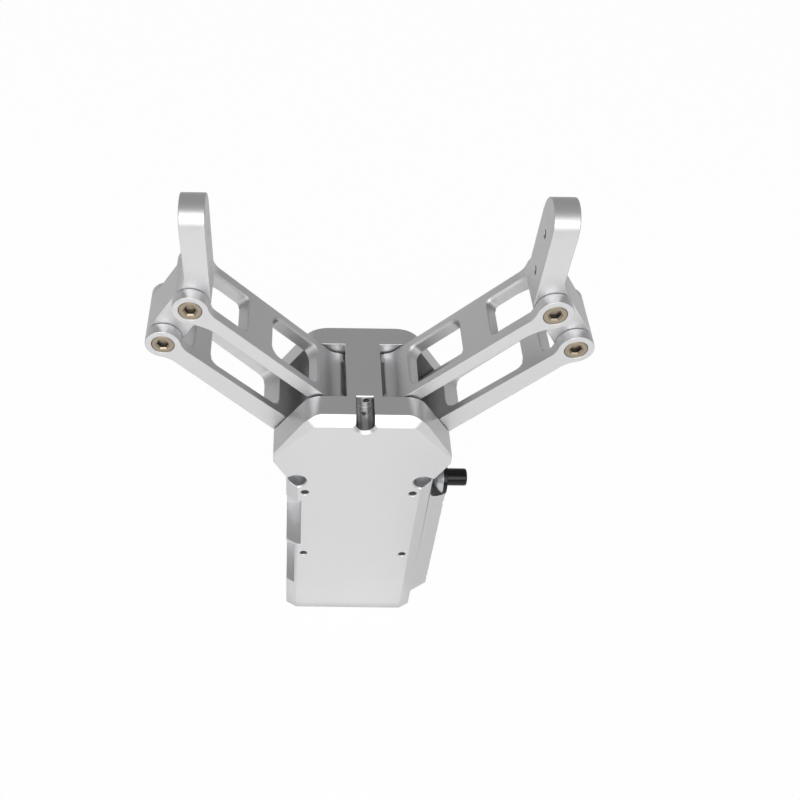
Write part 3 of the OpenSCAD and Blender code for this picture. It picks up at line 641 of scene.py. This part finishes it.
class GRIPPER_OT_connector(GripperOperator):
    """Round cable connector at the side."""

    bl_idname = "gripper.connector"
    bl_label = "Connector"

    def make(self, sizes):
        for part in ("socket", "nut", "plug"):
            dress("connector_" + part, sizes.screw_edge)
        low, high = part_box("connector_plug")
        ring, radius, length = 1.8 * MM, 0.45 * MM, 4 * MM
        mesh = contact_mesh(sizes.contact_count, ring, radius, length, "copper")
        place = Vector((high.x - length, (low.y + high.y) / 2, (low.z + high.z) / 2))
        mesh.transform(Matrix.Translation(place) @ Matrix.Rotation(math.pi / 2, 4, "Y"))
        new_piece("plug_contacts", mesh, BODY_OF["connector_plug"], "bronze", "copper")


class GRIPPER_OT_links(GripperOperator):
    """Ladder-shaped drive and follower links."""

    bl_idname = "gripper.links"
    bl_label = "Links"

    def make(self, sizes):
        for side in ("left", "right"):
            for name, screw in (("drive", "upper"), ("follower", "lower")):
                low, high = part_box(side + "_" + screw + "_screw")

                def open_rims(bm, axis=(low + high) / 2):
                    """The windows have flat chamfers."""
                    chamfer_windows(bm, sizes.window_edge * MM, (axis,))

                dress(
                    side + "_" + name + "_link", sizes.link_edge, work=open_rims,
                    limit=math.radians(60),
                )
            paint(side + "_drive_bushes", side + "_follower_bushes")


class GRIPPER_OT_fingers(GripperOperator):
    """Fingers with their couplers."""

    bl_idname = "gripper.fingers"
    bl_label = "Fingers"

    def make(self, sizes):
        def close_ears(bm):
            """The finger fills its play between the ears of the links."""
            half = max(v.co.y for v in bm.verts)
            for v in bm.verts:
                if abs(v.co.y) > half - 1e-5:
                    v.co.y += math.copysign(sizes.ear_fill * MM, v.co.y)

        for side in ("left", "right"):
            dress(side + "_finger", sizes.finger_edge, work=close_ears)
            paint(side + "_finger_bushes")


def shade_and_lip_sockets(node, sizes):
    """Black cups as painted shade in the hexagon sockets of a pivot screw, and bright lead-ins.
    """
    low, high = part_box(node)
    length = high.y - low.y
    place = Matrix.Translation((low + high) / 2) @ Matrix.Rotation(math.pi / 2, 4, "X")
    depth = sizes.socket_depth * MM
    # Painted shade: the black cups stand for the shade deep in the sockets
    mesh = shade_cup_mesh(sizes.socket_width * MM, depth, length - depth - 2 * MM, "black_steel")
    mesh.transform(place)
    new_piece(node + "_socket_shade", mesh, BODY_OF[node], "black_steel")
    lip = sizes.socket_lip * MM
    apart = length - 2 * lip - 0.3 * MM
    mesh = lip_mesh((sizes.socket_width + 0.1) * MM, lip, apart, "bronze")
    mesh.transform(place)
    new_piece(node + "_lips", mesh, BODY_OF[node], "bronze")


class GRIPPER_OT_pivots(GripperOperator):
    """Pivot screws in the fingers, pins and plugs in the body."""

    bl_idname = "gripper.pivots"
    bl_label = "Pivots"

    def make(self, sizes):
        for side in ("left", "right"):
            for place in ("upper", "lower"):
                dress(side + "_" + place + "_screw", sizes.screw_edge)
                shade_and_lip_sockets(side + "_" + place + "_screw", sizes)
        paint("drive_pins", "follower_pins", "pin_plugs")


class GRIPPER_OT_drive(GripperOperator):
    """Motor, spindle, rack and guides inside the body."""

    bl_idname = "gripper.drive"
    bl_label = "Drive"

    def make(self, sizes):
        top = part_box("lead_screw")[1].z
        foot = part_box("bearing_block")[1].z - 6 * MM
        radius = max(
            math.hypot(v.co.x, v.co.y)
            for v in NODES["lead_screw"].data.vertices if v.co.z > top - 1e-4
        )

        def thin_core(bm):
            """The threaded end goes down to the root of its thread."""
            for v in bm.verts:
                if v.co.z > foot - 2e-4 and math.hypot(v.co.x, v.co.y) > radius - 1e-4:
                    factor = 1 - sizes.thread_depth * MM / radius
                    v.co.x, v.co.y = v.co.x * factor, v.co.y * factor

        dress("lead_screw", 0.0, work=thin_core)
        length = top - foot - 1 * MM
        thread = helix_mesh(
            radius, sizes.thread_depth * MM, sizes.thread_pitch * MM, length, "steel"
        )
        thread.transform(Matrix.Translation((0, 0, foot + 0.5 * MM)))
        new_piece("spindle_thread", thread, BODY_OF["lead_screw"], "steel")
        paint(
            "motor_stator", "motor_end_cap", "motor_retainer", "motor_rotor",
            "bearing_block", "screw_bearing", "bearing_ring", "guide_rods",
            "rack_carriage", "carriage_nut", "encoder_disc", "encoder_board",
            "control_board",
        )


class GRIPPER_OT_stage(bpy.types.Operator):
    """Pale floor and backdrop, soft lamps and the camera."""

    bl_idname = "gripper.stage"
    bl_label = "Stage"
    bl_options = {"REGISTER", "UNDO"}

    def execute(self, context):
        studio = context.scene.gripper_studio
        build_floor(studio)
        build_lamps(studio)
        build_camera()
        return {"FINISHED"}


def pale_finish(studio):
    """Pale, and as bright in the camera and in metal as its colour says."""
    f = Finish("pale_stage")
    path = f.tree.nodes.new("ShaderNodeLightPath")
    through = Sum(f, path.outputs["Is Glossy Ray"]) + Sum(f, path.outputs["Is Transmission Ray"])
    seen = Sum(f, path.outputs["Is Camera Ray"]) * 0.97 + through * studio.mirrored
    matt = f.node("ShaderNodeBsdfDiffuse", inputs={"Color": rgba(studio.pale)})
    glow = f.node("ShaderNodeEmission", inputs={"Color": (1, 1, 1, 1), "Strength": 1.0})
    both = f.node("ShaderNodeMixShader", inputs={0: seen, 1: matt, 2: glow})
    f.node("ShaderNodeOutputMaterial", inputs={"Surface": both})
    return f.material


def build_floor(studio):
    """A round floor with an upright rim as backdrop."""
    bm = bmesh.new()
    count = 96
    rim = [
        (studio.floor_radius * math.cos(2 * math.pi * i / count),
         studio.floor_radius * math.sin(2 * math.pi * i / count))
        for i in range(count)
    ]
    low = [bm.verts.new((x, y, -0.2 * MM)) for x, y in rim]
    high = [bm.verts.new((x, y, studio.wall_height)) for x, y in rim]
    bm.faces.new(low)
    for i in range(count):
        j = (i + 1) % count
        bm.faces.new((low[i], high[i], high[j], low[j]))
    mesh = bpy.data.meshes.new("pale_stage")
    bm.to_mesh(mesh)
    bm.free()
    stage = bpy.data.objects.new("pale_stage", mesh)
    mesh.materials.append(pale_finish(studio))
    bpy.context.scene.collection.objects.link(stage)


def soft_lamp(name, place, aim, width, height, glow):
    """A flat soft lamp that faces a point; glow is the brightness of its face."""
    data = bpy.data.lights.new(name, "AREA")
    data.shape = "RECTANGLE"
    data.size = width
    data.size_y = height
    data.energy = glow * math.pi * width * height
    lamp = bpy.data.objects.new(name, data)
    lamp.location = place
    direction = Vector(aim) - Vector(place)
    lamp.rotation_euler = direction.to_track_quat("-Z", "Y").to_euler()
    bpy.context.scene.collection.objects.link(lamp)


def build_lamps(studio):
    """Soft lamps: one above the camera, a wide one and two flat ones on the floor in
    front, and a weak one behind at the left."""
    middle = (0.0, 0.0, 0.15)
    soft_lamp("key_lamp", (-0.2, -1.5, 1.45), middle, 1.4, 1.4, studio.key)
    soft_lamp("wide_lamp", (0.0, -1.5, 1.05), middle, 3.0, 1.0, studio.wide)
    soft_lamp("low_lamp", (0.0, -0.43, 0.002), (0.0, -0.43, 1.0), 1.4, 0.576, studio.low)
    soft_lamp("near_lamp", (-0.005, -0.09, 0.002), (-0.005, -0.09, 1.0), 0.11, 0.104, studio.low)
    soft_lamp("fill_lamp", (-1.3, 1.6, 0.5), middle, 0.8, 0.6, studio.fill)
    world = bpy.data.worlds.new("plain_sky")
    world.use_nodes = True
    f = Finish("plain_sky", world.node_tree)
    seen = f.node("ShaderNodeLightPath", output="Is Camera Ray")
    back = f.node("ShaderNodeBackground", inputs={"Color": rgba(studio.sky), "Strength": 1.0})
    white = f.node("ShaderNodeBackground", inputs={"Color": (1, 1, 1, 1), "Strength": 1.0})
    both = f.node("ShaderNodeMixShader", inputs={0: seen, 1: back, 2: white})
    f.node("ShaderNodeOutputWorld", inputs={"Surface": both})
    bpy.context.scene.world = world


def build_camera():
    """Looks down on the front from a little left of the middle."""
    pitch = math.radians(50.0)
    roll = math.radians(0.739)
    ahead = Vector((0.0, math.cos(pitch), -math.sin(pitch)))
    right = Vector((1.0, 0.0, 0.0))
    up = Vector((0.0, math.sin(pitch), math.cos(pitch)))
    x_axis = right * math.cos(roll) + up * math.sin(roll)
    y_axis = up * math.cos(roll) - right * math.sin(roll)
    data = bpy.data.cameras.new("camera")
    data.sensor_width = 36.0
    data.lens = 42.75
    data.shift_x = 0.1285
    data.clip_start = 0.01
    data.clip_end = 50.0
    camera = bpy.data.objects.new("camera", data)
    turn = Matrix((x_axis, y_axis, -ahead)).transposed()
    camera.matrix_world = Matrix.Translation((-0.03544, -0.34042, 0.57909)) @ turn.to_4x4()
    bpy.context.scene.collection.objects.link(camera)
    bpy.context.scene.camera = camera
    bpy.context.scene.view_settings.view_transform = "Standard"


class GRIPPER_PT_panel(bpy.types.Panel):
    """Lists the sizes, colours and operators."""

    bl_label = "Gripper"
    bl_idname = "GRIPPER_PT_panel"
    bl_space_type = "VIEW_3D"
    bl_region_type = "UI"
    bl_category = "Gripper"

    def draw(self, context):
        for group in ("gripper_sizes", "gripper_colours", "gripper_studio"):
            box = self.layout.box()
            holder = getattr(context.scene, group)
            for name in holder.__annotations__:
                box.prop(holder, name)
        for operator in OPERATORS:
            self.layout.operator(operator.bl_idname)


GROUPS = {
    "gripper_sizes": GripperSizes,
    "gripper_colours": GripperColours,
    "gripper_studio": GripperStudio,
}
OPERATORS = (
    GRIPPER_OT_body, GRIPPER_OT_connector, GRIPPER_OT_links, GRIPPER_OT_fingers,
    GRIPPER_OT_pivots, GRIPPER_OT_drive, GRIPPER_OT_stage,
)


def register():
    for cls in (*GROUPS.values(), *OPERATORS, GRIPPER_PT_panel):
        bpy.utils.register_class(cls)
    for name, cls in GROUPS.items():
        setattr(bpy.types.Scene, name, PointerProperty(type=cls))


def unregister():
    for name in GROUPS:
        delattr(bpy.types.Scene, name)
    for cls in reversed((*GROUPS.values(), *OPERATORS, GRIPPER_PT_panel)):
        bpy.utils.unregister_class(cls)


def main():
    """Builds every piece and the stage."""
    register()
    for operator in OPERATORS:
        group, name = operator.bl_idname.split(".")
        getattr(getattr(bpy.ops, group), name)()


if __name__ == "__main__":
    main()
